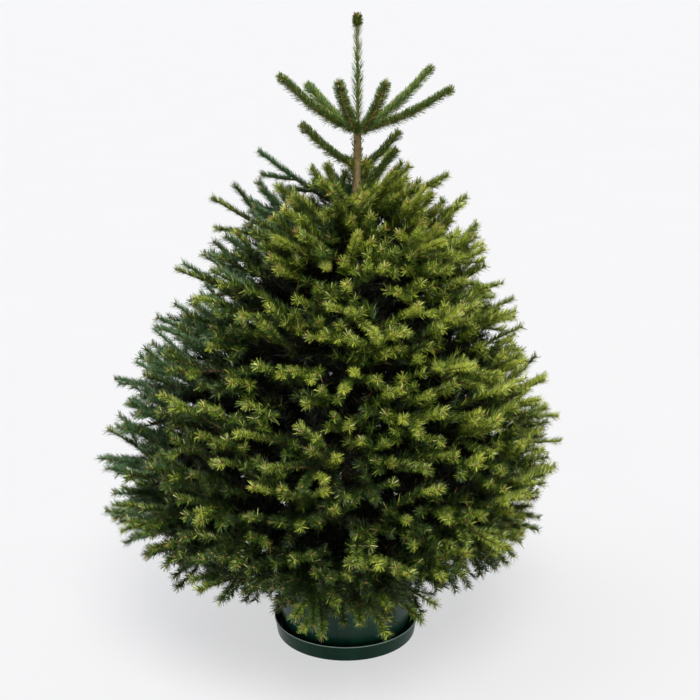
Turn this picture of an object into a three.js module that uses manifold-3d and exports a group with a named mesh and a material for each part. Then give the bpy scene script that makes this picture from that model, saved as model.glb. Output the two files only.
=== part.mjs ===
// A pot-grown Nordmann fir sold as a Christmas tree: a leaning trunk that runs from the soil to the
// leader's tip, six shoots in the top whorl, three between whorls, seven whorls of foliage below
// them on main boughs, and a tapered plastic pot of soil that stands in a round saucer.
//
// Units are millimetres, +Z is up, -Y is the front, and the origin is the centre of the saucer's
// underside. Each part is one closed solid. Parts that touch keep a gap of 0.3 mm.
import * as THREE from "three";
import { mergeVertices } from "three/addons/utils/BufferGeometryUtils.js";
import Module from "manifold-3d";

const wasm = await Module();
wasm.setup();

// ---------------------------------------------------------------- driving sizes

const GAP = 0.3;

const SAUCER = { radius: 177, floorRadius: 170, height: 40, floor: 3, wall: 2.5, rim: 4 };
const POT = { baseRadius: 155, topRadius: 172, height: 272, wall: 3, floor: 3, lip: 5, lipHeight: 22 };
const SOIL_BELOW_RIM = 28;
const ROUND_SEGMENTS = 36;

const TREE_TOP = 1500;
const TOP_WHORL = 1238;
const LEAN = 27;
const TRUNK_RADIUS = 19;
const TRUNK_RADIUS_TOP = 8.5;
const LEADER_RADIUS = 3.6;
const LEADER_RADIUS_TIP = 2.2;
const FLARE = 8;
const FLARE_HEIGHT = 26;

// Heights on the trunk, mean reach of the foliage, slope at the trunk and at the tip, and how many
// boughs: the crown is wider to the left (-X) than to the right by the share LOPSIDED.
const WHORLS = [
  { height: 1045, reach: 225, slope: 0.38, tipSlope: 0.6, count: 4, turn: 72, twigs: 5, limbShare: 0 },
  { height: 935, reach: 310, slope: 0.2, tipSlope: 0.5, count: 5, turn: 22, twigs: 6, limbShare: 0 },
  { height: 820, reach: 380, slope: 0.12, tipSlope: 0.4, count: 5, turn: 56, twigs: 7, limbShare: 0 },
  { height: 700, reach: 455, slope: 0.06, tipSlope: 0.32, count: 4, turn: 30, twigs: 8, limbShare: 0.19 },
  { height: 580, reach: 530, slope: -0.02, tipSlope: 0.2, count: 4, turn: 78, twigs: 8, limbShare: 0.19 },
  { height: 460, reach: 575, slope: -0.1, tipSlope: 0.06, count: 4, turn: 40, twigs: 8, limbShare: 0.19 },
  { height: 355, reach: 510, slope: -0.1, tipSlope: -0.16, count: 4, turn: 88, twigs: 8, limbShare: 0.4 },
];
const LOPSIDED = 0.09;
const CROWN_FLOOR = 120;
const CROWN_FLOOR_RISE = 0.18;
const ABOVE_CROWN = { height: 1108, reach: 200, slope: 1, tipSlope: 1 };
const BOUGH_SWAY = { turn: 6, lift: 0.06 };
const BOUGH_RADII = [9, 6];

// The bare shoots at the top: direction in degrees from +X, height on the trunk, reach and rise.
const TOP_SHOOTS = [
  { name: "left_front", turn: 203, height: TOP_WHORL, reach: 182, rise: 130 },
  { name: "left_back", turn: 132, height: TOP_WHORL, reach: 170, rise: 82 },
  { name: "front_left", turn: 255, height: TOP_WHORL, reach: 160, rise: 128 },
  { name: "front_right", turn: 292, height: TOP_WHORL - 9, reach: 155, rise: 134 },
  { name: "right_back", turn: 36, height: TOP_WHORL, reach: 208, rise: 122 },
  { name: "right_front", turn: 332, height: TOP_WHORL, reach: 226, rise: 108 },
  { name: "between_left", turn: 186, height: 1157, reach: 122, rise: 94 },
  { name: "between_right", turn: 356, height: 1150, reach: 92, rise: 84 },
  { name: "between_low", turn: 8, height: 1108, reach: 88, rise: 82 },
];

// Needles: each tooth of a shoot stands for a tuft of them.
const TOP_NEEDLES = { reach: 15, step: 26, core: 2.4, root: 2 };
const STEM_NEEDLES = { reach: 104, step: 95, core: 9, root: 5 };
const TWIG_NEEDLES = { reach: 68, step: 84, core: 6.5, root: 2 };
const LEADER_NEEDLES = { reach: 12, step: 26 };
const NEEDLE_SWEEP = 0.75;
const LOWER_NEEDLES = 0.85;

// Side twigs of a foliage mass.
const TWIG_SHARES = [0.06, 0.8];
const TWIG_ANGLES = [58, 36];
const TWIG_ROLLS = [8, 46, -46, -14, 36, -38, 18];
const TWIG_SCATTER = 0.18;
const TWIG_BEND = 0.35;
const TWIG_LENGTH = 1.1;
const TWIG_BARE = 24;
const STEM_BARE_SHARE = 0.12;
const SHORTEST_TWIG = 60;
const LENGTH_STEP = 12;

// Clearances from the edges of a mass's space.
const TWIG_MARGIN = 18;
const TOOTH_MARGIN = 3;
const PAST_REACH = 24;
const POT_CLEARANCE = 6;

// ---------------------------------------------------------------- colours

const paint = (color, roughness) => new THREE.MeshStandardMaterial({ color, roughness, metalness: 0 });
const BARK = paint(0x6f5d47, 0.85);
const BOUGH_BARK = paint(0x6a5233, 0.85);
const TOP_GREEN = paint(0x4b6b33, 0.6);
const CROWN_GREENS = [paint(0x55702c, 0.6), paint(0x47652b, 0.6), paint(0x3b5b2c, 0.6)];
const PLASTIC = paint(0x1f3d32, 0.4);
const SOIL = paint(0x2b2018, 0.95);

// ---------------------------------------------------------------- solids and meshes

function solidFrom(geometry) {
  const bare = geometry.index ? geometry.toNonIndexed() : geometry.clone();
  bare.deleteAttribute("normal");
  bare.deleteAttribute("uv");
  const merged = mergeVertices(bare, 1e-3);
  return new wasm.Manifold(
    new wasm.Mesh({
      numProp: 3,
      vertProperties: merged.attributes.position.array,
      triVerts: new Uint32Array(merged.index.array),
    }),
  );
}

function geometryFrom(solid) {
  const mesh = solid.getMesh();
  const geometry = new THREE.BufferGeometry();
  geometry.setAttribute("position", new THREE.BufferAttribute(mesh.vertProperties, 3));
  geometry.setIndex(new THREE.BufferAttribute(mesh.triVerts, 1));
  geometry.computeVertexNormals();
  return geometry;
}

// The largest piece of a solid: it drops loose scraps and fills hollows that fusing has sealed.
function largestPiece(solid) {
  const pieces = solid.decompose();
  return pieces.reduce((best, piece) => (piece.volume() > best.volume() ? piece : best));
}

const tree = new THREE.Group();

function addPart(name, geometry, material) {
  const mesh = new THREE.Mesh(geometry, material);
  mesh.name = name;
  tree.add(mesh);
}

// ---------------------------------------------------------------- small maths

const radians = THREE.MathUtils.degToRad;
const mix = THREE.MathUtils.lerp;
const UP = new THREE.Vector3(0, 0, 1);

// The same seed gives the same twigs: a linear congruential generator with 32 bits.
function seededRandom(seed) {
  let state = Math.imul(seed + 1, 2654435761) >>> 0;
  const draw = () => {
    state = (Math.imul(state, 1664525) + 1013904223) >>> 0;
    return state / 4294967296;
  };
  draw();
  return draw;
}

// ---------------------------------------------------------------- trunk

const SOIL_TOP = SAUCER.floor + GAP + POT.height - SOIL_BELOW_RIM;
const FOOT = SOIL_TOP + GAP;

function trunkCentre(z) {
  const share = (z - FOOT) / (TREE_TOP - FOOT);
  return new THREE.Vector3(LEAN * Math.sin(0.6 * Math.PI * share), 0, z);
}

// The trunk tapers evenly to the top whorl, and the leader above it is one year's thin growth.
function trunkRadius(z) {
  if (z > TOP_WHORL) {
    const share = (z - TOP_WHORL) / (TREE_TOP - TOP_WHORL);
    return mix(LEADER_RADIUS, LEADER_RADIUS_TIP, share);
  }
  const share = (z - FOOT) / (TOP_WHORL - FOOT);
  return mix(TRUNK_RADIUS, TRUNK_RADIUS_TOP, share) + FLARE * Math.exp((FOOT - z) / FLARE_HEIGHT);
}

const LIMB_SIDES = 5;
const LIMB_STEPS = 2;

// A closed tube along a path, made from a cylinder whose rings are moved to the path.
function limbGeometry(pathPoint, radiusAt) {
  const geometry = new THREE.CylinderGeometry(1, 1, 1, LIMB_SIDES, LIMB_STEPS);
  const position = geometry.attributes.position;
  for (let i = 0; i < position.count; i += 1) {
    const share = position.getY(i) + 0.5;
    const centre = pathPoint(share);
    const ahead = pathPoint(Math.min(share + 0.01, 1.01));
    const forward = ahead.clone().sub(centre).normalize();
    const across = new THREE.Vector3().crossVectors(forward, UP);
    if (across.lengthSq() < 0.01) across.set(1, 0, 0);
    across.normalize();
    const over = new THREE.Vector3().crossVectors(across, forward).normalize();
    const radius = radiusAt(share);
    centre.addScaledVector(across, position.getX(i) * radius);
    centre.addScaledVector(over, position.getZ(i) * radius);
    position.setXYZ(i, centre.x, centre.y, centre.z);
  }
  return geometry;
}

const TRUNK_RINGS = [0, 10, 30, 60, 180, 400, 640, 860];
const TRUNK_SIDES = 9;

// Rings stand level, so that the foot is a flat cut.
function trunkSolid(clearance) {
  const heights = TRUNK_RINGS.map((step) => FOOT + step);
  heights.push(TOP_WHORL, TOP_WHORL + 6, mix(TOP_WHORL, TREE_TOP, 0.5), TREE_TOP);
  const geometry = new THREE.CylinderGeometry(1, 1, 1, TRUNK_SIDES, heights.length - 1);
  const position = geometry.attributes.position;
  for (let i = 0; i < position.count; i += 1) {
    const ring = Math.round((position.getY(i) + 0.5) * (heights.length - 1));
    const z = heights[ring];
    const centre = trunkCentre(z);
    const radius = trunkRadius(z) + clearance;
    const end = ring === 0 ? -clearance : ring === heights.length - 1 ? clearance : 0;
    position.setXYZ(i, centre.x + position.getX(i) * radius, centre.y - position.getZ(i) * radius, z + end);
  }
  return solidFrom(geometry);
}

const trunk = trunkSolid(0);
const aroundTrunk = trunkSolid(GAP + 0.1);
addPart("trunk", geometryFrom(trunk), BARK);

// ---------------------------------------------------------------- needled shoots

// A path that starts along one direction and bends evenly to another.
function bentPath(start, direction, endDirection, length) {
  return (share) =>
    start
      .clone()
      .addScaledVector(direction, length * (share - (share * share) / 2))
      .addScaledVector(endDirection, (length * share * share) / 2);
}

// A slim three-sided core along a path with a row of teeth on each side, closed by a pointed bud.
// Teeth sweep forward. The rows left and right of the core are long, and the row below is short.
// A tooth that would leave the space is drawn in, and one with no room at all is left out.
function needledShoot(path, length, needles, bareShare = 0, fits = () => true) {
  const steps = Math.max(2, Math.round((length * (1 - bareShare)) / needles.step));
  const bareSteps = Math.ceil((length * bareShare) / (1.6 * needles.step));
  const shares = [];
  for (let k = 0; k < bareSteps; k += 1) shares.push((bareShare * k) / bareSteps);
  for (let k = 0; k <= steps; k += 1) shares.push(mix(bareShare, 1, k / steps) * 0.97);
  const rings = shares.length;
  const sides = 3;
  const points = [];
  const frames = shares.map((share) => {
    const centre = path(share);
    const forward = path(share + 0.01).sub(centre).normalize();
    const across = new THREE.Vector3().crossVectors(UP, forward).normalize();
    const over = new THREE.Vector3().crossVectors(forward, across).normalize();
    return { centre, forward, across, over };
  });
  const outward = (frame, degrees) =>
    frame.across
      .clone()
      .multiplyScalar(Math.cos(radians(degrees)))
      .addScaledVector(frame.over, Math.sin(radians(degrees)));
  frames.forEach((frame, k) => {
    const radius = k === 0 ? needles.root : needles.core * mix(1, 0.6, shares[k]);
    for (let j = 0; j < sides; j += 1) {
      points.push(frame.centre.clone().addScaledVector(outward(frame, 90 + 120 * j), radius));
    }
  });
  const index = [];
  const ring = (k, j) => k * sides + (j % sides);
  for (let k = 0; k < rings - 1; k += 1) {
    for (let j = 0; j < sides; j += 1) {
      const [a, b] = [ring(k, j), ring(k, j + 1)];
      const [c, d] = [ring(k + 1, j + 1), ring(k + 1, j)];
      if (k < bareSteps) {
        index.push(a, b, c, a, c, d);
        continue;
      }
      const frame = frames[k];
      const middle = points[a].clone().add(points[b]).add(points[c]).add(points[d]).multiplyScalar(0.25);
      const swept = outward(frame, 150 + 120 * j).multiplyScalar(0.8);
      swept.addScaledVector(frame.forward, NEEDLE_SWEEP);
      let reach = needles.reach * (j === 1 ? LOWER_NEEDLES : 1) * mix(1, 0.8, shares[k]);
      while (reach > needles.core && !fits(middle.clone().addScaledVector(swept, reach))) reach *= 0.75;
      if (reach <= needles.core) {
        index.push(a, b, c, a, c, d);
        continue;
      }
      points.push(middle.addScaledVector(swept, reach));
      const tip = points.length - 1;
      index.push(a, b, tip, b, c, tip, c, d, tip, d, a, tip);
    }
  }
  const last = rings - 1;
  points.push(path(1).addScaledVector(frames[last].forward, needles.reach * 0.35));
  const bud = points.length - 1;
  for (let j = 0; j < sides; j += 1) index.push(ring(last, j), ring(last, j + 1), bud);
  index.push(ring(0, 2), ring(0, 1), ring(0, 0));
  const geometry = new THREE.BufferGeometry().setFromPoints(points);
  geometry.setIndex(index);
  return geometry;
}

// ---------------------------------------------------------------- leader and top shoots

// The leader's needles stand on a sleeve that the trunk runs up through.
function leaderFoliage() {
  const low = TOP_WHORL + 16;
  const high = TREE_TOP - 4;
  const steps = Math.round((high - low) / LEADER_NEEDLES.step);
  const sides = 5;
  const points = [];
  const index = [];
  const level = (k) => mix(low, high, k / steps);
  const spot = (z, turn, radius, lift) => {
    const centre = trunkCentre(z);
    return new THREE.Vector3(centre.x + radius * Math.cos(turn), centre.y + radius * Math.sin(turn), z + lift);
  };
  for (let k = 0; k <= steps; k += 1) {
    for (let j = 0; j < sides; j += 1) {
      points.push(spot(level(k), (2 * Math.PI * j) / sides, trunkRadius(level(k)) + 2.6, 0));
    }
  }
  const ring = (k, j) => k * sides + (j % sides);
  for (let k = 0; k < steps; k += 1) {
    for (let j = 0; j < sides; j += 1) {
      const z = (level(k) + level(k + 1)) / 2;
      const turn = (2 * Math.PI * (j + 0.5)) / sides;
      points.push(spot(z, turn, LEADER_NEEDLES.reach, LEADER_NEEDLES.reach * NEEDLE_SWEEP));
      const tip = points.length - 1;
      const corners = [ring(k, j), ring(k, j + 1), ring(k + 1, j + 1), ring(k + 1, j)];
      corners.forEach((corner, c) => index.push(corner, corners[(c + 1) % 4], tip));
    }
  }
  for (let j = 1; j < sides - 1; j += 1) {
    index.push(ring(0, 0), ring(0, j + 1), ring(0, j));
    index.push(ring(steps, 0), ring(steps, j), ring(steps, j + 1));
  }
  const geometry = new THREE.BufferGeometry().setFromPoints(points);
  geometry.setIndex(index);
  return largestPiece(solidFrom(geometry).subtract(aroundTrunk));
}

addPart("leader_needles", geometryFrom(leaderFoliage()), TOP_GREEN);

// A top shoot leaves the trunk nearly level and curves up to its tip.
function topShoot(shoot) {
  const turn = radians(shoot.turn);
  const meanSlope = shoot.rise / shoot.reach;
  const [slope, tipSlope] = [meanSlope * 0.45, meanSlope * 1.55];
  const start = trunkCentre(shoot.height);
  const path = (share) => {
    const out = shoot.reach * share;
    const lift = slope * out + ((tipSlope - slope) * out * out) / (2 * shoot.reach);
    return start.clone().add(new THREE.Vector3(out * Math.cos(turn), out * Math.sin(turn), lift));
  };
  const needled = needledShoot(path, Math.hypot(shoot.reach, shoot.rise), TOP_NEEDLES, 0.1);
  return solidFrom(needled).subtract(aroundTrunk);
}

for (const shoot of TOP_SHOOTS) {
  addPart(`shoot_${shoot.name}`, geometryFrom(largestPiece(topShoot(shoot))), TOP_GREEN);
}

// ---------------------------------------------------------------- crown: whorls of boughs

// Height of a whorl's boughs at a distance from the trunk. The slope changes evenly up to the reach.
function boughHeight(whorl, out) {
  const { height, reach, slope, tipSlope } = whorl;
  const bent = Math.min(out, reach);
  return height + slope * bent + ((tipSlope - slope) * bent * bent) / (2 * reach) + tipSlope * (out - bent);
}

const midHeight = (upper, lower, out) => (boughHeight(upper, out) + boughHeight(lower, out)) / 2;

// How far the foliage of a whorl reaches in a direction.
const reachTowards = (whorl, turn) => whorl.reach * (1 - LOPSIDED * Math.cos(turn));

// Where a point lies about the trunk: its distance from the trunk's line, and its direction.
function aboutTrunk(point) {
  const x = point.x - trunkCentre(point.z).x;
  return { out: Math.hypot(x, point.y), turn: Math.atan2(point.y, x) };
}

// The space of one mass: its slice of the whorl, halfway to the whorls above and below.
function massSpace(level, turn) {
  const whorl = WHORLS[level];
  const above = WHORLS[level - 1] || ABOVE_CROWN;
  const below = WHORLS[level + 1];
  const halfSlice = Math.PI / whorl.count;
  const nearest = Math.max(whorl.reach * whorl.limbShare, below ? 0 : POT.topRadius + POT.lip + POT_CLEARANCE);
  return (point, margin, past) => {
    const { out, turn: towards } = aboutTrunk(point);
    const aside = Math.abs(Math.atan2(Math.sin(towards - turn), Math.cos(towards - turn)));
    const floor = below ? midHeight(whorl, below, out) : CROWN_FLOOR + CROWN_FLOOR_RISE * out;
    return (
      out > nearest &&
      out < reachTowards(whorl, towards) + past &&
      aside < halfSlice &&
      out * Math.sin(halfSlice - aside) > margin &&
      point.z < midHeight(above, whorl, out) - margin &&
      point.z > floor + margin
    );
  };
}

// One bough's line from the trunk to its tip. Each bough sways a little from its whorl's own line.
function boughLine(whorl, turn, random) {
  const swayed = turn + radians(BOUGH_SWAY.turn) * (2 * random() - 1);
  const lift = BOUGH_SWAY.lift * (2 * random() - 1);
  const reach = reachTowards(whorl, swayed);
  const start = trunkCentre(whorl.height);
  return (share) => {
    const out = reach * share;
    const z = boughHeight(whorl, out) + lift * out * share;
    return new THREE.Vector3(start.x + out * Math.cos(swayed), out * Math.sin(swayed), z);
  };
}

// The longest stretch of a bent path that keeps to the space.
function lengthInside(inSpace, start, direction, endDirection, longest) {
  let length = 0;
  while (length + LENGTH_STEP <= longest) {
    const tip = bentPath(start, direction, endDirection, length + LENGTH_STEP)(1);
    if (!inSpace(tip)) break;
    length += LENGTH_STEP;
  }
  return length;
}

// The direction of a side twig: turned away from the stem to one side, and rolled about the stem.
function sideDirection(along, side, angle, roll) {
  const across = new THREE.Vector3().crossVectors(along, UP).normalize();
  const over = new THREE.Vector3().crossVectors(across, along).normalize();
  const aside = across.multiplyScalar(side * Math.cos(roll)).addScaledVector(over, Math.sin(roll));
  return along.clone().multiplyScalar(Math.cos(angle)).addScaledVector(aside, Math.sin(angle));
}

// The shoots of one mass: a stem along the bough's line, and side twigs to its left and right in
// turn, which roll up and down and bend forward. A twig with no room in the space is skipped.
function massShoots(whorl, inSpace, stem, random) {
  const stemLength = stem(0).distanceTo(stem(1));
  const toothFits = (point) => inSpace(point, TOOTH_MARGIN, PAST_REACH);
  const twigFits = (point) => inSpace(point, TWIG_MARGIN, -TWIG_MARGIN);
  const shoots = [needledShoot(stem, stemLength, STEM_NEEDLES, STEM_BARE_SHARE, toothFits)];
  for (let k = 0; k < whorl.twigs; k += 1) {
    const share = mix(...TWIG_SHARES, k / (whorl.twigs - 1));
    const start = stem(share);
    const along = stem(share + 0.02).sub(start).normalize();
    const angle = radians(mix(...TWIG_ANGLES, share)) + TWIG_SCATTER * (random() - 0.5);
    const roll = radians(TWIG_ROLLS[k % TWIG_ROLLS.length]) + TWIG_SCATTER * (random() - 0.5);
    const direction = sideDirection(along, k % 2 === 0 ? 1 : -1, angle, roll);
    const endDirection = direction.clone().lerp(along, TWIG_BEND).normalize();
    const longest = stemLength * (TWIG_LENGTH - share);
    const length = lengthInside(twigFits, start, direction, endDirection, longest);
    if (length < SHORTEST_TWIG) continue;
    const path = bentPath(start, direction, endDirection, length);
    shoots.push(needledShoot(path, length, TWIG_NEEDLES, TWIG_BARE / length, toothFits));
  }
  return shoots;
}

WHORLS.forEach((whorl, level) => {
  for (let index = 0; index < whorl.count; index += 1) {
    const turn = radians(whorl.turn + (360 * index) / whorl.count);
    const name = `${level + 1}_${index + 1}`;
    const random = seededRandom(100 * level + index);
    const line = boughLine(whorl, turn, random);
    const entry = whorl.limbShare;
    const stem = (share) => line(mix(entry, 1, share));
    const shoots = massShoots(whorl, massSpace(level, turn), stem, random);
    const fused = wasm.Manifold.union(shoots.map(solidFrom)).subtract(aroundTrunk);
    addPart(`foliage_${name}`, geometryFrom(largestPiece(fused)), CROWN_GREENS[level % CROWN_GREENS.length]);
    if (entry === 0) continue;
    const end = entry - GAP / reachTowards(whorl, turn);
    const limb = limbGeometry((share) => line(share * end), (share) => mix(...BOUGH_RADII, share));
    addPart(`bough_${name}`, geometryFrom(largestPiece(solidFrom(limb).subtract(aroundTrunk))), BOUGH_BARK);
  }
});

// ---------------------------------------------------------------- pot, soil and saucer

const lathe = (profile) => {
  const points = profile.map(([radius, z]) => new THREE.Vector2(radius, z));
  return new THREE.LatheGeometry(points, ROUND_SEGMENTS).rotateX(Math.PI / 2);
};

function saucerGeometry() {
  const { radius, floorRadius, height, floor, wall, rim } = SAUCER;
  return lathe([
    [0, 0],
    [floorRadius, 0],
    [radius - 1.5, height - rim],
    [radius, height - rim],
    [radius, height],
    [radius - wall, height],
    [floorRadius - wall, floor],
    [0, floor],
  ]);
}

const POT_FOOT = SAUCER.floor + GAP;

function potGeometry() {
  const { baseRadius, topRadius, height, wall, floor, lip, lipHeight } = POT;
  const top = POT_FOOT + height;
  return lathe([
    [0, POT_FOOT],
    [baseRadius, POT_FOOT],
    [topRadius, top - lipHeight],
    [topRadius + lip, top - lipHeight],
    [topRadius + lip, top],
    [topRadius - wall, top],
    [baseRadius - wall, POT_FOOT + floor],
    [0, POT_FOOT + floor],
  ]);
}

function soilGeometry() {
  const inner = (z) => mix(POT.baseRadius, POT.topRadius, (z - POT_FOOT) / POT.height) - POT.wall - GAP - 2;
  const bottom = POT_FOOT + POT.floor + GAP;
  return lathe([
    [0, bottom],
    [inner(bottom), bottom],
    [inner(SOIL_TOP - 6), SOIL_TOP - 6],
    [60, SOIL_TOP],
    [0, SOIL_TOP],
  ]);
}

addPart("saucer", saucerGeometry(), PLASTIC);
addPart("pot", potGeometry(), PLASTIC);
addPart("soil", soilGeometry(), SOIL);

export default tree;
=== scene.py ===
"""The looks of a pot-grown Nordmann fir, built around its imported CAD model.

Every shoot grows by the source's own seeded rule, and is then carried on to finer twigs in the same
spaces. Sizes of the rule are in millimetres, and meshes are made in metres.
"""

import math
import random

import bpy
import numpy as np
from mathutils import Matrix, Vector, noise
from mathutils.kdtree import KDTree


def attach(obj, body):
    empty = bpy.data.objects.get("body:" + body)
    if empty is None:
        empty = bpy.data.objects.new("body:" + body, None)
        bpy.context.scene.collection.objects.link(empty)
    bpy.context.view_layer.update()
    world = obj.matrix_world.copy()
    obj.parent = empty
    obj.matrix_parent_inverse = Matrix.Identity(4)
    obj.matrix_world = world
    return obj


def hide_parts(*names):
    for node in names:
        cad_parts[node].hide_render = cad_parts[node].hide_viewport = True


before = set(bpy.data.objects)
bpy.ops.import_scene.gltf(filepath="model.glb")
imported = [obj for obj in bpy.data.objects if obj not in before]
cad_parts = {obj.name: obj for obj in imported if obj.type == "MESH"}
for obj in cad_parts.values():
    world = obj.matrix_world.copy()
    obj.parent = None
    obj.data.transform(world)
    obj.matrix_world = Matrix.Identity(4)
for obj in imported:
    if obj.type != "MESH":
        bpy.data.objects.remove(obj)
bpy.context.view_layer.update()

MM = 0.001
UP = Vector((0, 0, 1))

# ---- the source's sizes, in mm

SAUCER = {"radius": 177, "floor_radius": 170, "height": 40, "floor": 3, "wall": 2.5, "rim": 4}
POT = {"base_radius": 155, "top_radius": 172, "height": 272, "wall": 3, "floor": 3, "lip": 5, "lip_height": 22}
POT_FOOT = 3.3
SOIL_TOP = 247.3
FOOT = 247.6

TREE_TOP = 1500
TOP_WHORL = 1238
LEAN = 27
TRUNK_RADIUS = 19
TRUNK_RADIUS_TOP = 8.5
LEADER_RADIUS = 3.6
LEADER_RADIUS_TIP = 2.2
FLARE = 8
FLARE_HEIGHT = 26

WHORL_FIELDS = ("height", "reach", "slope", "tip_slope", "count", "turn", "twigs", "limb_share")
WHORL_ROWS = [
    (1045, 225, 0.38, 0.6, 4, 72, 5, 0),
    (935, 310, 0.2, 0.5, 5, 22, 6, 0),
    (820, 380, 0.12, 0.4, 5, 56, 7, 0),
    (700, 455, 0.06, 0.32, 4, 30, 8, 0.19),
    (580, 530, -0.02, 0.2, 4, 78, 8, 0.19),
    (460, 575, -0.1, 0.06, 4, 40, 8, 0.19),
    (355, 510, -0.1, -0.16, 4, 88, 8, 0.4),
]
WHORLS = [dict(zip(WHORL_FIELDS, row)) for row in WHORL_ROWS]
ABOVE_CROWN = {"height": 1108, "reach": 200, "slope": 1, "tip_slope": 1}
LOPSIDED = 0.09
CROWN_FLOOR = 120
CROWN_FLOOR_RISE = 0.18
BOUGH_SWAY_TURN = 6
BOUGH_SWAY_LIFT = 0.06

TOP_SHOOTS = [  # direction in degrees from +X, height on the trunk, reach, rise
    (203, TOP_WHORL, 182, 130),
    (132, TOP_WHORL, 170, 82),
    (255, TOP_WHORL, 160, 128),
    (292, TOP_WHORL - 9, 155, 134),
    (36, TOP_WHORL, 208, 122),
    (332, TOP_WHORL, 226, 108),
    (186, 1157, 122, 94),
    (356, 1150, 92, 84),
    (8, 1108, 88, 82),
]

TWIG_SHARES = (0.06, 0.8)  # the source's side twigs, along a stem
TWIG_ANGLES = (58, 36)
TWIG_ROLLS = (8, 46, -46, -14, 36, -38, 18)
TWIG_SCATTER = 0.18
TWIG_BEND = 0.35
TWIG_LENGTH = 1.1
SHORTEST_TWIG = 60
LENGTH_STEP = 12
TWIG_MARGIN = 18
POT_CLEARANCE = 6

# ---- camera, as the photograph was taken


def add_object(name, data):
    made = bpy.data.objects.new(name, data)
    bpy.context.scene.collection.objects.link(made)
    return made


camera = add_object("camera", bpy.data.cameras.new("camera"))
camera.location = (0.00995, -3.32586, 1.82841)
camera.rotation_euler = (math.radians(90 - 18.374), 0, 0)
camera.data.lens = 77.14
camera.data.sensor_width = 36
camera.data.clip_start = 0.05
camera.data.clip_end = 400
bpy.context.scene.camera = camera

# ---- the source's rule, written again


def mix(low, high, share):
    return low + (high - low) * share


def seeded_random(seed):
    """The source's linear congruential generator, with 32 bits."""
    state = ((seed + 1) * 2654435761) & 0xFFFFFFFF

    def draw():
        nonlocal state
        state = (state * 1664525 + 1013904223) & 0xFFFFFFFF
        return state / 4294967296

    draw()
    return draw


def trunk_centre(z):
    share = (z - FOOT) / (TREE_TOP - FOOT)
    return Vector((LEAN * math.sin(0.6 * math.pi * share), 0, z))


def trunk_radius(z):
    if z > TOP_WHORL:
        return mix(LEADER_RADIUS, LEADER_RADIUS_TIP, (z - TOP_WHORL) / (TREE_TOP - TOP_WHORL))
    share = (z - FOOT) / (TOP_WHORL - FOOT)
    return mix(TRUNK_RADIUS, TRUNK_RADIUS_TOP, share) + FLARE * math.exp((FOOT - z) / FLARE_HEIGHT)


def bough_height(whorl, out):
    bent = min(out, whorl["reach"])
    curve = (whorl["tip_slope"] - whorl["slope"]) * bent * bent / (2 * whorl["reach"])
    return whorl["height"] + whorl["slope"] * bent + curve + whorl["tip_slope"] * (out - bent)


def mid_height(upper, lower, out):
    return (bough_height(upper, out) + bough_height(lower, out)) / 2


def reach_towards(whorl, turn):
    return whorl["reach"] * (1 - LOPSIDED * math.cos(turn))


def mass_space(level, turn):
    """The space of one mass: its slice of the whorl, halfway to the whorls above and below."""
    whorl = WHORLS[level]
    above = WHORLS[level - 1] if level > 0 else ABOVE_CROWN
    below = WHORLS[level + 1] if level + 1 < len(WHORLS) else None
    half_slice = math.pi / whorl["count"]
    beside_pot = 0 if below else POT["top_radius"] + POT["lip"] + POT_CLEARANCE
    nearest = max(whorl["reach"] * whorl["limb_share"], beside_pot)

    def inside(point, margin, past):
        x = point.x - trunk_centre(point.z).x
        out = math.hypot(x, point.y)
        towards = math.atan2(point.y, x)
        aside = abs(math.atan2(math.sin(towards - turn), math.cos(towards - turn)))
        floor = mid_height(whorl, below, out) if below else CROWN_FLOOR + CROWN_FLOOR_RISE * out
        return (
            out > nearest
            and out < reach_towards(whorl, towards) + past
            and aside < half_slice
            and out * math.sin(half_slice - aside) > margin
            and point.z < mid_height(above, whorl, out) - margin
            and point.z > floor + margin
        )

    return inside


def bough_line(whorl, turn, draw):
    swayed = turn + math.radians(BOUGH_SWAY_TURN) * (2 * draw() - 1)
    lift = BOUGH_SWAY_LIFT * (2 * draw() - 1)
    reach = reach_towards(whorl, swayed)
    start = trunk_centre(whorl["height"])

    def line(share):
        out = reach * share
        z = bough_height(whorl, out) + lift * out * share
        return Vector((start.x + out * math.cos(swayed), out * math.sin(swayed), z))

    return line


def bent_path(start, direction, end_direction, length):
    def path(share):
        turned = share * share / 2
        return start + direction * (length * (share - turned)) + end_direction * (length * turned)

    return path


def length_inside(fits, start, direction, end_direction, longest):
    length = 0
    while length + LENGTH_STEP <= longest:
        if not fits(bent_path(start, direction, end_direction, length + LENGTH_STEP)(1)):
            break
        length += LENGTH_STEP
    return length


def side_direction(along, side, angle, roll):
    across = along.cross(UP).normalized()
    over = across.cross(along).normalized()
    aside = across * (side * math.cos(roll)) + over * math.sin(roll)
    return along * math.cos(angle) + aside * math.sin(angle)


# ---- growth

PATH_STEPS = 8

# The crown's outline as distance from the trunk and height: up from the pot, then in to the trunk again.
OUTLINE = np.array(
    [(205, 216), (300, 204), (380, 204), (440, 222), (476, 264), (494, 325), (502, 400), (504, 470),
     (498, 560), (478, 640), (447, 710), (405, 786), (366, 860), (332, 919), (298, 985), (256, 1043),
     (205, 1092), (156, 1124), (114, 1138), (80, 1140), (45, 1120)], float
)
FLANK = OUTLINE[2:18]
ROW_CLOSENESS = 0.88
BULGE = 36  # how far the outline swells in and out
LAYER_STEP = 98  # the sprays gather in layers this far apart, drawn to them by some millimetres
LAYER_PULL = 8
LOW_GAP_RISE = 92  # how much higher the low edge is between the lowest boughs
LOW_GAP_WIDENING = 0.36
LOW_GAP_FADE = (400, 160)

# A shoot's order is its kind: first those of the bare top, then from the boughs outwards.
KNOB, BARE_TRUNK, LEADER, TOP, STEM, TWIG, INNERMOST, INNER, MIDDLE, OUTER, OUTERMOST, HANGING = range(-4, 8)
RIM_MARGIN, LIP_MARGIN = 3, 4
SKELETON_STEP = 12
SKELETON_START = 0.12


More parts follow.
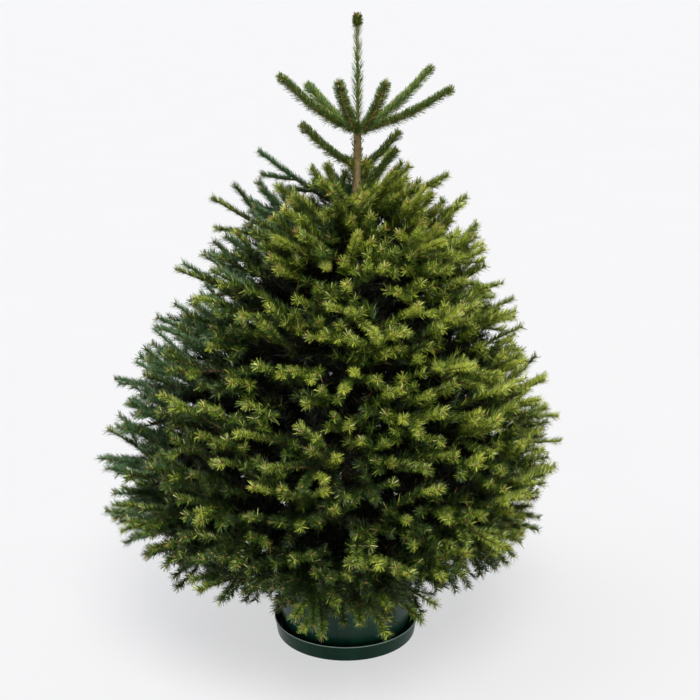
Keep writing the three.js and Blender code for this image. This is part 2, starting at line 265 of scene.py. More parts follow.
def low_gap(turn):
    """From 0 under a lowest bough to 1 halfway between two of them."""
    lowest = WHORLS[-1]
    return (1 - math.cos(lowest["count"] * (turn - math.radians(lowest["turn"])))) / 2


def low_rise(turn, z):
    """How far the low edge lifts between the lowest boughs, fading out higher up the crown."""
    top, run = LOW_GAP_FADE
    return LOW_GAP_RISE * low_gap(turn) ** LOW_GAP_WIDENING * min(1, max(0, (top - z) / run))


finer = random.Random(20)
between, bell = finer.uniform, finer.gauss
shoots = []
skeleton = []


def meets_pot(point):
    below_rim = point.z < POT_FOOT + POT["height"] + RIM_MARGIN
    return below_rim and math.hypot(point.x, point.y) < POT["top_radius"] + POT["lip"] + LIP_MARGIN


def add_shoot(path, length, order, radii=(0, 0), bare=0):
    """One shoot: its line, order, radii where it has a twig of its own, and the bare length at its start."""
    points = [path(k / PATH_STEPS) for k in range(PATH_STEPS + 1)]
    if order > TWIG and any(map(meets_pot, points)):
        return
    shoots.append(([tuple(p) for p in points], length, order, radii, bare))
    steps = max(2, round(length / SKELETON_STEP))
    for k in range(round(SKELETON_START * steps), steps):
        here, ahead = path(k / steps), path((k + 0.5) / steps)
        skeleton.append((here, (ahead - here).normalized()))


bough_lines = []
STEM_BARE_SHARE = 0.12


def grow_mass(level, index):
    """The stem and side twigs of one mass, exactly as in the source."""
    whorl = WHORLS[level]
    turn = math.radians(whorl["turn"] + 360 * index / whorl["count"])
    draw = seeded_random(100 * level + index)
    line = bough_line(whorl, turn, draw)
    bough_lines.append((line, level))
    in_space = mass_space(level, turn)

    def stem(share):
        return line(mix(whorl["limb_share"], 1, share))

    def twig_fits(point):
        return in_space(point, TWIG_MARGIN, -TWIG_MARGIN)

    stem_length = (stem(1) - stem(0)).length
    add_shoot(stem, stem_length, STEM, bare=STEM_BARE_SHARE * stem_length)
    for k in range(whorl["twigs"]):
        share = mix(*TWIG_SHARES, k / (whorl["twigs"] - 1))
        start = stem(share)
        along = (stem(share + 0.02) - start).normalized()
        angle = math.radians(mix(*TWIG_ANGLES, share)) + TWIG_SCATTER * (draw() - 0.5)
        roll = math.radians(TWIG_ROLLS[k % len(TWIG_ROLLS)]) + TWIG_SCATTER * (draw() - 0.5)
        direction = side_direction(along, 1 if k % 2 == 0 else -1, angle, roll)
        end_direction = direction.lerp(along, TWIG_BEND).normalized()
        longest = stem_length * (TWIG_LENGTH - share)
        length = length_inside(twig_fits, start, direction, end_direction, longest)
        if length < SHORTEST_TWIG:
            continue
        add_shoot(bent_path(start, direction, end_direction, length), length, TWIG, (2.8, 1.1), 10)


for level, whorl in enumerate(WHORLS):
    for index in range(whorl["count"]):
        grow_mass(level, index)

# Tips point outwards, and from the lowest twigs to the top ones from drooping to steeply upwards.
TIP_LIFTS = [(120, -0.7), (200, -0.5), (270, -0.15), (350, 0.12), (450, 0.38), (560, 0.54), (700, 0.6),
             (950, 0.66), (1050, 0.8), (1150, 1.1)]
lift_heights, tip_lifts = zip(*TIP_LIFTS)
FAN = 0.6
TURN_SCATTER, LIFT_SCATTER = 0.16, 0.14


def tip_direction(point):
    """Outwards, and fanned to the side on which the tip lies of the nearest bough."""
    turn = math.atan2(point.y, point.x - trunk_centre(point.z).x)
    whorl = min(WHORLS, key=lambda whorl: abs(whorl["height"] - point.z))
    slice_ = 2 * math.pi / whorl["count"]
    beside = math.remainder(turn - math.radians(whorl["turn"]), slice_)
    turn += FAN * beside + bell(0, TURN_SCATTER)
    lift = float(np.interp(point.z, lift_heights, tip_lifts)) + bell(0, LIFT_SCATTER)
    return Vector((math.cos(turn), math.sin(turn), lift)).normalized()


def facing(turn):
    return Vector((math.cos(turn), math.sin(turn), 0))


def crown_point(out, turn, z):
    return Vector((trunk_centre(z).x + out * math.cos(turn), out * math.sin(turn), z))


def outline_tips(inset, spacing, ragged):
    """Points spread evenly over the crown's outline, drawn in by inset and ragged by some millimetres."""
    steps = np.linalg.norm(np.diff(OUTLINE, axis=0), axis=1)
    walked = np.concatenate([[0], np.cumsum(steps)])

    def on_outline(at):
        return (float(np.interp(at, walked, OUTLINE[:, i])) for i in (0, 1))

    rows = int(walked[-1] / (spacing * ROW_CLOSENESS))
    tips = []
    for row in range(rows):
        offset = between(0, 2 * math.pi)
        base = (row + 0.5) / rows * walked[-1]
        radius, _ = on_outline(base)
        count = max(3, round(2 * math.pi * (radius - inset) / spacing))
        for j in range(count):
            at = base + between(-0.42, 0.42) * spacing
            r, z = on_outline(at)
            r2, z2 = on_outline(at + 8)
            run = math.hypot(r2 - r, z2 - z) or 1
            inward = inset + bell(0, ragged)
            r, z = r - inward * (z2 - z) / run, z + inward * (r2 - r) / run
            turn = offset + 2 * math.pi * (j + between(-0.36, 0.36)) / count
            if r < 30:
                continue
            r *= 1 - LOPSIDED * math.cos(turn)
            r += BULGE * noise.noise(Vector((math.cos(turn) * 3, math.sin(turn) * 3, z / 90)))
            around = Vector((math.cos(turn) * 1.6, math.sin(turn) * 1.6, 0))
            z += LAYER_PULL * math.sin(2 * math.pi * (z / LAYER_STEP + 0.9 * noise.noise(around)))
            z += low_rise(turn, z)
            tips.append(crown_point(r, turn, z))
    finer.shuffle(tips)
    return tips


def standing_below(height=TREE_TOP):
    """A search for what stands so far nearest to a place: distance, point and direction of each."""
    standing = [(point, along) for point, along in skeleton if point.z < height]
    found = KDTree(len(standing))
    for number, (point, _) in enumerate(standing):
        found.insert(point, number)
    found.balance()

    def nearest(place, count=1):
        return [(distance, *standing[number]) for _, number, distance in found.find_n(place, count)]

    return nearest


def curve_to(tip, start, heading, lead=0.5):
    """A curve that comes to its tip in the heading's direction, and the distance that it spans."""
    reach = (tip - start).length
    middle = tip - heading * (lead * reach)

    def path(share):
        rest = 1 - share
        return start * (rest * rest) + middle * (2 * share * rest) + tip * (share * share)

    return path, reach


def add_fork(path, reach, side, roll, habit, order):
    """A side shoot from the middle of a twig."""
    shares, angles, sizes, (shortest, longest), bend, radii = habit
    share = between(*shares)
    start = path(share)
    along = (path(share + 0.02) - start).normalized()
    direction = side_direction(along, side, math.radians(between(*angles)), roll * side)
    length = min(longest, reach * (1 - share) * between(*sizes))
    if length > shortest:
        ahead = direction.lerp(along, bend).normalized()
        add_shoot(bent_path(start, direction, ahead, length), length, order, radii, FORK_BARE)


# Of forks: where on the twig, at what angle, their share of the twig's rest, lengths, bend and radii.
FORKS = ((0.28, 0.46), (34, 48), (0.74, 0.95), (32, 84), 0.4, (1.15, 0.85))
HANGING_FORKS = ((0.3, 0.55), (38, 52), (0.6, 0.9), (26, 60), 0.3, (1, 0.7))
POT_FORKS = ((0.35, 0.5), (34, 46), (0.7, 0.9), (0, 70), 0.4, (1.15, 0.85))
FORK_BARE = 3
SIDES = (-1, 1)
CANDIDATES = 14


def fill_outline(order, inset, spacing, ragged, lengths, fork_share):
    """Twigs that grow from what stands inside, out to an even spread of tips."""
    nearest = standing_below()
    for tip in outline_tips(inset, spacing, ragged):
        heading = tip_direction(tip)

        def cost(candidate):
            distance, point, along = candidate
            to_tip = (tip - point).normalized()
            bent_at_start = max(0, 0.35 - along.dot(to_tip))
            bent_at_tip = max(0, 0.6 - heading.dot(to_tip))
            return distance + 70 * bent_at_start + 60 * bent_at_tip

        _, start, _ = min(nearest(tip - heading * between(*lengths), CANDIDATES), key=cost)
        path, reach = curve_to(tip, start, heading)
        if reach < 40:
            continue
        add_shoot(path, reach * 1.02, order, (1.9 if reach > 130 else 1.3, 0.9), 4)
        roll = math.radians(bell(8, 18))
        for side in SIDES:
            if finer.random() <= fork_share:
                add_fork(path, reach, side, roll, FORKS, order)


def fill_core(count, width, heights):
    """Old twigs spread through the middle of the crown, that keep it from being seen through."""
    nearest = standing_below()
    for _ in range(count):
        z = between(*heights)
        widest = float(np.interp(z, FLANK[:, 1], FLANK[:, 0]))
        r = widest * width * math.sqrt(between(0.02, 1))
        tip = crown_point(r, between(0, 2 * math.pi), z)
        aim = Vector((bell(0, 1), bell(0, 1), bell(0, 0.8))).normalized()
        _, start, _ = nearest(tip - aim * between(60, 110))[0]
        path, reach = curve_to(tip, start, aim, 0.4)
        if reach > 45:
            add_shoot(path, reach * 1.03, INNERMOST, (1.6, 0.9))


fill_core(880, 0.62, (300, 980))
fill_outline(INNERMOST, 250, 105, 12, (70, 110), 0)
fill_outline(INNER, 172, 92, 12, (75, 115), 0)
fill_outline(MIDDLE, 108, 84, 12, (85, 125), 0.2)
fill_outline(OUTER, 52, 78, 13, (95, 140), 0.5)
fill_outline(OUTERMOST, 0, 82, 17, (110, 165), 0.85)


def add_hanging(tip, heading, behind, order, radii, bare, habit):
    """A twig to a tip from what stands behind it, with a fork to each side."""
    _, start, _ = behind
    path, reach = curve_to(tip, start, heading)
    add_shoot(path, reach * 1.03, order, radii, bare)
    for side in SIDES:
        add_fork(path, reach, side, 0, habit, order)


def hang_twigs(count):
    """Bare-looking twigs that hang in the open along the crown's low edge."""
    nearest = standing_below(330)
    for j in range(count):
        turn = 2 * math.pi * (j + between(-0.4, 0.4)) / count
        if low_gap(turn) < 0.5:
            continue
        r = between(350, 440) * (1 - LOPSIDED * math.cos(turn))
        z = between(146, 190)
        tip = crown_point(r, turn, z + low_rise(turn, z))
        heading = (facing(turn) * between(0.3, 1) - UP * between(0.5, 1)).normalized()
        behind = nearest(tip - heading * between(100, 140))[0]
        add_hanging(tip, heading, behind, HANGING, (1.4, 0.8), 6, HANGING_FORKS)


def hang_before_pot(count):
    """Leafy shoots that hang from the foremost low boughs before the pot."""
    nearest = standing_below(340)
    for j in range(count):
        turn = math.radians(mix(-122, -52, (j + between(0.2, 0.8)) / count))
        tip = Vector((trunk_centre(0).x, 0, 0)) + between(215, 305) * facing(turn)
        tip.z = 184 - 64 * finer.random() ** 2
        drop = between(0.35, 0.75)
        heading = Vector((0.8 * math.cos(turn), 0.8 * math.sin(turn), -drop)).normalized()
        behind = nearest(tip - heading * between(110, 140))[0]
        add_hanging(tip, heading, behind, OUTERMOST, (1.5, 0.9), 4, POT_FORKS)


hang_twigs(84)
hang_before_pot(12)


def top_shoot(turn, height, reach, rise):
    turn = math.radians(turn)
    slope, tip_slope = rise / reach * 0.45, rise / reach * 1.55
    start = trunk_centre(height)

    def path(share):
        out = reach * share
        lift = slope * out + (tip_slope - slope) * out * out / (2 * reach)
        return start + Vector((out * math.cos(turn), out * math.sin(turn), lift))

    return path


def add_along_trunk(low, high, order, radii=(0, 0)):
    add_shoot(lambda share: trunk_centre(mix(low, high, share)), high - low, order, radii)


# Each top shoot is laid twice, for twice the needles, and the knob at the leader's tip three times. The
# knob and the bare trunk under the top whorl have needles and no twig.
KNOB_LAYERS = 3
BARE_TRUNK_LOW = 1085
for turn, height, reach, rise in TOP_SHOOTS * 2:
    add_shoot(top_shoot(turn, height, reach, rise), math.hypot(reach, rise), TOP, (3.2, 2.0), 6)
add_along_trunk(TOP_WHORL + 6, TREE_TOP - 14, LEADER, (0.9 * LEADER_RADIUS, LEADER_RADIUS_TIP))
for _ in range(KNOB_LAYERS):
    add_along_trunk(TREE_TOP - 34, TREE_TOP - 12, KNOB)
add_along_trunk(BARE_TRUNK_LOW, TOP_WHORL - 6, BARE_TRUNK)

lines, lengths, orders, radii, bares = (np.array(column) for column in zip(*shoots))

# ---- mesh helpers


def unit(vectors):
    return vectors / np.maximum(np.linalg.norm(vectors, axis=-1, keepdims=True), 1e-9)


def make_piece(name, points, face_sets, material, smooth=False):
    """A mesh object from points in mm and lists of faces, each an array of equal corners."""
    mesh = bpy.data.meshes.new(name)
    points = np.asarray(points, np.float32).reshape(-1, 3) * MM
    mesh.vertices.add(len(points))
    mesh.vertices.foreach_set("co", points.ravel())
    face_sets = [np.asarray(f, np.int32) for f in face_sets if len(f)]
    corners = np.concatenate([f.ravel() for f in face_sets])
    sizes = np.concatenate([np.full(len(f), f.shape[1], np.int32) for f in face_sets])
    starts = np.concatenate([[0], np.cumsum(sizes)[:-1]]).astype(np.int32)
    mesh.loops.add(len(corners))
    mesh.loops.foreach_set("vertex_index", corners)
    mesh.polygons.add(len(sizes))
    mesh.polygons.foreach_set("loop_start", starts)
    mesh.polygons.foreach_set("use_smooth", np.full(len(sizes), smooth))
    mesh.update(calc_edges=True)
    mesh.materials.append(material)
    return add_object(name, mesh)


def frames_along(points):
    """Directions along, across and over a set of lines, at each of their points."""
    along = unit(np.gradient(points, axis=-2))
    across = np.cross(along, np.array(UP))
    flat = np.linalg.norm(across, axis=-1, keepdims=True) < 0.12
    across = unit(np.where(flat, np.cross(along, np.array((0.0, 1.0, 0.0))), across))
    return along, across, np.cross(across, along)


def grid_faces(rings, sides):
    """The quads between closed rings of equal sides."""
    ring = np.arange(sides)
    after = (ring + 1) % sides
    quad = np.stack([ring, after, after + sides, ring + sides], axis=1)
    return (np.arange(rings - 1)[:, None, None] * sides + quad).reshape(-1, 4)


def circle(across, over, sides):
    turns = np.arange(sides) * 2 * math.pi / sides
    return across[..., None, :] * np.cos(turns)[:, None] + over[..., None, :] * np.sin(turns)[:, None]


def tubes(points, thickness, sides):
    """Rings around each line, joined by quads. points is (lines, rings, 3) and thickness (lines, rings)."""
    count, rings = points.shape[:2]
    _, across, over = frames_along(points)
    vertices = points[:, :, None] + circle(across, over, sides) * thickness[:, :, None, None]
    faces = np.arange(count)[:, None, None] * rings * sides + grid_faces(rings, sides)
    return vertices.reshape(-1, 3), faces.reshape(-1, 4)


def joined(parts):
    """One mesh's points and face sets from those of its parts."""
    points, face_sets, offset = [], [], 0
    for some_points, some_faces in parts:
        points.append(some_points)
        face_sets.append(some_faces + offset)
        offset += len(some_points)
    return np.concatenate(points), face_sets


def disc(sides, start=0):
    """One face over a ring of points, seen from above."""
    return [list(range(start, start + sides))]


def underside(sides):
    return [disc(sides)[0][::-1]]


# ---- materials


def srgb(red, green, blue):
    def linear(value):
        value /= 255
        return value / 12.92 if value <= 0.04045 else ((value + 0.055) / 1.055) ** 2.4

    return (linear(red), linear(green), linear(blue), 1)


def grey(value):
    return (value, value, value, 1)


def connect(owner, made, inputs):
    """Sets a node's inputs, by a link where the value is another node's output."""
    for key, value in inputs.items():
        if isinstance(value, bpy.types.NodeSocket):
            owner.node_tree.links.new(value, made.inputs[key])
        else:
            made.inputs[key].default_value = value


def node(owner, kind, inputs=None, **settings):
    made = owner.node_tree.nodes.new(kind)
    for key, value in settings.items():
        setattr(made, key, value)
    connect(owner, made, inputs or {})
    return made


def new_material(name, colour, roughness, specular=0.5):
    material = bpy.data.materials.new(name)
    material.use_nodes = True
    material.node_tree.nodes.clear()
    output = node(material, "ShaderNodeOutputMaterial")
    shader = node(material, "ShaderNodeBsdfPrincipled", {
        "Base Color": colour, "Roughness": roughness, "Specular IOR Level": specular,
    })
    connect(material, output, {"Surface": shader.outputs["BSDF"]})
    return material, shader


def object_place(material):
    return node(material, "ShaderNodeTexCoord").outputs["Object"]


def drawn_out(material, place, height_scale):
    """Coordinates for a texture that runs upwards."""
    mapping = node(material, "ShaderNodeMapping", {"Vector": place, "Scale": (1, 1, height_scale)})
    return mapping.outputs["Vector"]


def noise_texture(material, place, scale, detail, roughness=0.5):
    inputs = {"Vector": place, "Scale": scale, "Detail": detail, "Roughness": roughness}
    return node(material, "ShaderNodeTexNoise", inputs).outputs["Fac"]


def maths(material, operation, first, second):
    return node(material, "ShaderNodeMath", {0: first, 1: second}, operation=operation).outputs["Value"]


def ramp(owner, value, stops):
    made = node(owner, "ShaderNodeValToRGB", {"Fac": value})
    elements = made.color_ramp.elements
    elements[0].position, elements[0].color = stops[0]
    elements[1].position, elements[1].color = stops[-1]
    for position, colour in stops[1:-1]:
        elements.new(position).color = colour
    return made.outputs["Color"]


def add_bump(material, shader, height, strength, distance):
    bump = node(material, "ShaderNodeBump", {"Height": height, "Strength": strength, "Distance": distance})
    connect(material, shader, {"Normal": bump.outputs["Normal"]})


def needle_material(name, colour, roughness):
    """A plain base colour, so that it stays with its sprays, and a fine grain along the blade."""
    material, shader = new_material(name, srgb(*colour), roughness)
    add_bump(material, shader, noise_texture(material, object_place(material), 900, 1), 0.35, 0.0006)
    return material


def bark_material(name, dark, mid, light, scale, depth):
    dark, mid, light = srgb(*dark), srgb(*mid), srgb(*light)
    material, shader = new_material(name, mid, 0.85, 0.25)
    place = drawn_out(material, object_place(material), 0.35)
    coarse = noise_texture(material, place, scale, 6, 0.65)
    cracks = node(
        material, "ShaderNodeTexVoronoi", {"Vector": place, "Scale": scale * 2.2}, feature="DISTANCE_TO_EDGE"
    )
    edges = maths(material, "MINIMUM", cracks.outputs["Distance"], 0.25)
    add_bump(material, shader, maths(material, "ADD", edges, coarse), 0.8, depth)
    connect(material, shader, {
        "Base Color": ramp(material, coarse, [(0.3, dark), (0.5, mid), (0.72, light)]),
        "Roughness": ramp(material, coarse, [(0.3, grey(0.75)), (0.7, grey(0.95))]),
    })
    return material


def plastic_material(name, deep, worn, specular, rim_height=None):
    """Moulded dark green plastic: fine orange peel, faint upright streaks, and a painted highlight along the
    rim's top.
    """
    deep, worn = srgb(*deep), srgb(*worn)
    material, shader = new_material(name, deep, 0.34, specular)
    place = object_place(material)
    blotches = noise_texture(material, place, 9, 5, 0.6)
    streaks = noise_texture(material, drawn_out(material, place, 0.04), 46, 3)
    half = maths(material, "MULTIPLY", maths(material, "ADD", blotches, streaks), 0.5)
    colour = ramp(material, half, [(0.36, deep), (0.66, worn)])
    # A pale band along the top of the rim is a painted highlight, for light glancing off the rounded edge.
    if rim_height:
        edge = node(material, "ShaderNodeMapRange", {
            "Value": node(material, "ShaderNodeSeparateXYZ", {"Vector": place}).outputs["Z"],
            "From Min": rim_height - 0.0022, "From Max": rim_height - 0.0006,
        })
        painted_rim_highlight = node(material, "ShaderNodeMix", {  # 6 and 7 are its colours
            "Factor": edge.outputs["Result"], 6: colour, 7: srgb(168, 190, 180),
        }, data_type="RGBA")
        colour = painted_rim_highlight.outputs[2]
    connect(material, shader, {
        "Base Color": colour,
        "Roughness": ramp(material, blotches, [(0.3, grey(0.28)), (0.75, grey(0.44))]),
    })
    add_bump(material, shader, noise_texture(material, place, 420, 2), 0.18, 0.0005)
    return material


# The greens from fresh down to deep are lighter and darker copies of one needle green. They are dealt out by a
# tone that holds painted light and shade as well as the real lighter young growth.
NEEDLE_COLOURS = {
    # glint: pale needles that are a painted highlight, for light glancing off glossy needles.
    "glint": ((222, 224, 150), 0.28),
    "fresh": ((195, 206, 82), 0.3),
    "spring": ((130, 153, 42), 0.34),
    "mid": ((88, 117, 34), 0.36),
    "leaf": ((62, 90, 30), 0.38),
    "deep": ((40, 60, 18), 0.44),
    # inner: near-black, a painted shade for the depth of the crown.
    "inner": ((24, 32, 12), 0.6),
    # sea, sea_deep and pale: cool tints for the painted shade on the crown's left side; the top shoots also
    # take them at random.
    "sea": ((80, 118, 70), 0.4),
    "sea_deep": ((46, 78, 44), 0.44),
    "pale": ((120, 142, 98), 0.46),
    "dry": ((150, 118, 66), 0.6),
}
GROUPS = list(NEEDLE_COLOURS)
needle_materials = {name: needle_material("needles_" + name, *NEEDLE_COLOURS[name]) for name in GROUPS}

trunk_bark = bark_material("trunk_bark", (70, 58, 36), (140, 123, 81), (190, 173, 127), 60, 0.0016)
bough_bark = bark_material("bough_bark", (44, 34, 23), (74, 58, 40), (104, 86, 62), 110, 0.001)
twig_bark = bark_material("twig_bark", (66, 52, 30), (104, 84, 50), (138, 112, 72), 240, 0.0004)
shoot_bark = bark_material("shoot_bark", (112, 84, 44), (158, 124, 70), (190, 158, 104), 260, 0.0004)
bud_scales = bark_material("bud_scales", (92, 72, 38), (136, 110, 62), (176, 148, 98), 600, 0.0004)
pot_plastic = plastic_material("pot_plastic", (6, 40, 28), (14, 60, 44), 0.24)
# The saucer's rim carries the painted highlight.
saucer_plastic = plastic_material("saucer_plastic", (1, 40, 26), (5, 54, 38), 0.12, SAUCER["height"] * MM)
chip_bark = bark_material("chip_bark", (58, 44, 30), (96, 74, 50), (128, 104, 76), 110, 0.001)
soil_mix = bark_material("soil_mix", (20, 14, 10), (44, 32, 22), (78, 58, 40), 90, 0.003)

# ---- needles

rng = np.random.default_rng(11)


def depth_inside(points):
    """How deep points lie in the crown, from its outline."""
    centre = LEAN * np.sin(0.6 * math.pi * (points[:, 2] - FOOT) / (TREE_TOP - FOOT))
    x = points[:, 0] - centre
    out = np.hypot(x, points[:, 1])
    flat = np.stack([out / (1 - LOPSIDED * x / np.maximum(out, 1)), points[:, 2]], axis=1)
    nearest = np.full(len(points), 1e9)
    for first, second in zip(OUTLINE[:-1], OUTLINE[1:]):
        run = second - first
        share = np.clip(((flat - first) @ run) / (run @ run), 0, 1)
        apart = np.linalg.norm(flat - first - share[:, None] * run, axis=1)
        nearest = np.minimum(nearest, apart)
    outside = flat[:, 0] > np.interp(points[:, 2], FLANK[:, 1], FLANK[:, 0])
    return np.where(outside, 0, nearest)


along_lines, across_lines, _ = frames_along(lines)

# Needles per millimetre of shoot: by how deep it lies in the crown, and on the bare top's shoots and leader.
NEEDLE_DEPTHS = (0, 40, 65, 100, 150)
NEEDLES_PER_MM = (3.85, 3.4, 1.85, 1.1, 1.05)
TOP_NEEDLES_PER_MM = 6.2
LEADER_NEEDLES_PER_MM = 2.3
HANGING_NEEDLES_PER_MM = 1.7

owner = np.repeat(np.arange(len(shoots)), (lengths * TOP_NEEDLES_PER_MM).astype(int))
bare_share = bares[owner] / lengths[owner]
spot = bare_share + (1 - bare_share) * rng.random(len(owner))

segment = np.minimum((spot * PATH_STEPS).astype(int), PATH_STEPS - 1)
part = (spot * PATH_STEPS - segment)[:, None]


def on_lines(values):
    return values[owner, segment] * (1 - part) + values[owner, segment + 1] * part


base = on_lines(lines)
forward = unit(on_lines(along_lines))
across = unit(on_lines(across_lines))
over = np.cross(across, forward)
to_tip = (1 - spot) * lengths[owner]
depth = depth_inside(base)
order = orders[owner]

wanted = np.where(order < STEM, TOP_NEEDLES_PER_MM, np.interp(depth, NEEDLE_DEPTHS, NEEDLES_PER_MM))
wanted *= np.where(order < STEM, 1, np.interp(base[:, 2], (930, 1060), (1, 1.5)))
wanted = np.where(order == HANGING, HANGING_NEEDLES_PER_MM, wanted)
wanted = np.where(order == BARE_TRUNK, np.where(spot > 0.9, 2.6, 1.3), wanted)
wanted = np.where(order == LEADER, LEADER_NEEDLES_PER_MM * np.interp(spot, (0.5, 0.6), (1.2, 1)), wanted)
keep = rng.random(len(owner)) < wanted / TOP_NEEDLES_PER_MM
owner, base, forward, across, over, to_tip, depth, order, spot = (
    a[keep] for a in (owner, base, forward, across, over, to_tip, depth, order, spot)
)
total = len(owner)


def evenly(low, high):
    return rng.uniform(low, high, total)


def normal(mean, spread):
    return rng.normal(mean, spread, total)


knob, bare_trunk, leader, top_side, hanging = (
    order == kind for kind in (KNOB, BARE_TRUNK, LEADER, TOP, HANGING)
)
top = order < STEM
under_whorl = spot > 0.9  # on the bare trunk, right under the top whorl

# Direction about the shoot: at the sides and above, few below, but all round at tips, and flat where it hangs.
about = evenly(-38, 218)
about = np.where(rng.random(total) < np.where(top_side, 0.25, 0.1), evenly(0, 360), about)
flat_row = np.where(rng.random(total) < 0.5, normal(4, 12), normal(176, 12))
about = np.where(hanging, flat_row, about)
all_round = ((to_tip < 20) & (order < HANGING)) | (order <= LEADER)
about = np.where(all_round, evenly(0, 360), about)
about = np.radians(about)
lean = normal(50, 8)
lean = np.where(to_tip < 10, evenly(32, 70), lean)
lean = np.where(leader, normal(37, 5), lean)
lean = np.where(knob, evenly(30, 95), lean)
lean = np.where(top_side & (to_tip > 12), normal(52, 6), lean)
trunk_lean = np.where(under_whorl, evenly(80, 150), normal(32, 10))
lean = np.where(bare_trunk, trunk_lean, lean)
lean = np.where(~leader & (np.sin(about) > 0.7), lean - 6, lean)
lean = np.radians(lean)

sideways = across * np.cos(about)[:, None] + over * np.sin(about)[:, None]
base = np.where(bare_trunk[:, None], base + sideways * 9, base)
heading = forward * np.cos(lean)[:, None] + sideways * np.sin(lean)[:, None]
heading = unit(heading + np.array((0, 0, 0.1)))

size = normal(18.4, 1.6) * np.interp(depth, (30, 70), (1, 1.1))
size *= np.interp(spot, (0, 0.12, 0.9, 1), (0.75, 1, 1, 0.95))
leader_size = np.interp(spot, (0, 0.45, 0.6, 0.92, 0.94, 1), (28, 26, 22, 20, 19, 15))
size = np.where(leader, normal(1, 0.06) * leader_size, size)
size = np.where(top_side, size * np.interp(to_tip, (4, 20), (0.78, 0.99)), size)
size = np.where(bare_trunk, evenly(6, 12), size)
size = np.where(knob, evenly(11, 15), size)

old = np.interp(depth, (60, 130), (0, 1)) * (order >= STEM)
size *= 1 + 0.4 * old
wide = normal(1.85, 0.16) * (1 + 1.6 * old)
wide = np.where(to_tip < 10, 1.35, wide)
wide = np.where(top, 1.4, wide)
wide = np.where(hanging, 2.1, wide)

# The blade's upper face looks up and towards the shoot's tip.
face = over * 0.8 + forward * 0.55 + rng.normal(0, 0.42, (total, 3))
face = np.where(leader[:, None], forward + rng.normal(0, 0.2, (total, 3)), face)
face = unit(face - heading * (face * heading).sum(1, keepdims=True))
side = np.cross(heading, face)

# ---- colours, dealt out by spray, with painted light and shade by place in the crown

spray = rng.normal(0, 1, len(shoots))[owner]
own = rng.random(total)
tip_centre = lines[:, -1]
CROWN_CENTRE = (10, 0, 620)
from_axis = unit(tip_centre - np.array(CROWN_CENTRE))
# sunny: how far a spray's tip faces the key light, at the front right and above, for painted light below.
sunny = np.maximum(from_axis @ unit(np.array((0.62, -0.72, 0.3))), -0.12)[owner]
# leftness: how far a spray's tip faces the crown's left, the side away from the key light.
leftness = (unit(from_axis * np.array((1, 1, 0.35))) @ np.array((-0.87, 0.5, 0)))[owner]

height = tip_centre[owner, 2]
slow_fade = np.interp(height, (900, 1050), (1, 0.5))
# A needle's tone: lighter towards shoot tips, by spray and at random, as young growth really is. Darker deeper
# in the crown, partly the real darker inner needles and partly painted shade. Lighter on the sunny side, which
# is painted light.
youth_and_painted_light = 0.79 - depth / 105 - np.clip(to_tip - 25, 0, 90) / 130 * slow_fade + 0.62 * sunny + 0.4 * spray
fronting = np.clip(-from_axis[owner, 1], 0, 1) ** 3
# A random spread, then darker low down and lighter high up: painted shade under the crown and painted light on
# its top.
youth_and_painted_light += normal(0, 0.62) + np.interp(height, (200, 400, 850, 1080), (-0.4, 0, 0.12, 0.3))
# Painted shade on the crown's low front, under the boughs above it.
FRONT_HEIGHTS = (185, 225, 350, 500, 640, 760, 950)
FRONT_PAINTED_SHADE = (-0.2, -0.95, -1, -0.7, -0.3, 0.08, 0.02)
youth_and_painted_light += fronting * np.interp(height, FRONT_HEIGHTS, FRONT_PAINTED_SHADE)
group = np.full(total, GROUPS.index("deep"))


def paint(name, chosen):
    group[chosen] = GROUPS.index(name)


# The lighter copies go where this tone is higher, so they carry painted light as well as the young growth's
# colour.
for least, name in ((0.12, "leaf"), (0.55, "mid"), (0.98, "spring"), (1.4, "fresh")):
    paint(name, youth_and_painted_light > least)
# Painted highlight: a tenth of the lighter needles near the crown's surface, above the lowest boughs and not
# under their shoots, take the pale glint colour.
paint("glint", (own < 0.1) & (youth_and_painted_light > 0.35) & (height > 330) & (depth < 55) & (np.sin(about) > -0.2))
# Needles deep in the crown go near-black: painted shade over the darker tone of old inner needles.
paint("inner", depth > 120)
# Painted shade: the crown's left side, away from the key light, tinted cool blue-green, darker still where the
# tone is low, with some paler needles among them.
bluish = (leftness + 0.2 * spray > 0.67) & (depth < 120)
paint("sea", bluish)
paint("sea_deep", bluish & (youth_and_painted_light < 0.45))
paint("pale", bluish & (own < 0.2))
paint("mid", top)
paint("sea", top & (own < 0.34))
paint("spring", top & (own > 0.56))
paint("pale", top & (own > 0.82))
# A few top-shoot needles take the painted highlight too.
paint("glint", top & (own > 0.94))
paint("dry", knob & (own > 0.8))
paint("leaf", knob & (own < 0.8))
paint("mid", knob & (own < 0.3))
paint("dry", bare_trunk & (own < 0.6))
paint("deep", bare_trunk & (own >= 0.6))
paint("leaf", hanging)
paint("deep", hanging & (own < 0.5))
paint("dry", (own > 0.992) & (depth > 60))
browned = np.interp(height, (940, 1060), (0.88, 0.62))
paint("dry", (own > browned) & (to_tip < 6) & (order > STEM) & (order < HANGING) & (spray > 0))
paint("dry", top_side & (own > 0.5) & (own < 0.56))

# Needles by their count of triangles: a spike, a folded strip and a whole blade. The points are along,
# across and lift, as shares of the needle's length and width.
SHAPES = {
    1: ([(0, 0.5, 0), (1, 0, 0.1), (0, -0.5, 0)], [(0, 1, 2)]),
    2: ([(0, 0.42, 0.06), (0.94, 0.36, 0.16), (1, -0.14, -0.06), (0.05, -0.5, -0.06)], [(0, 1, 2, 3)]),
    4: ([(0, 0, 0), (0.2, 0.42, 0.16), (0.86, 0.5, 0.16), (1, 0, 0), (0.86, -0.5, 0.16), (0.2, -0.42, 0.16)],
        [(0, 1, 2, 3), (0, 3, 4, 5)]),
}
MOST_TRIANGLES = 190_000
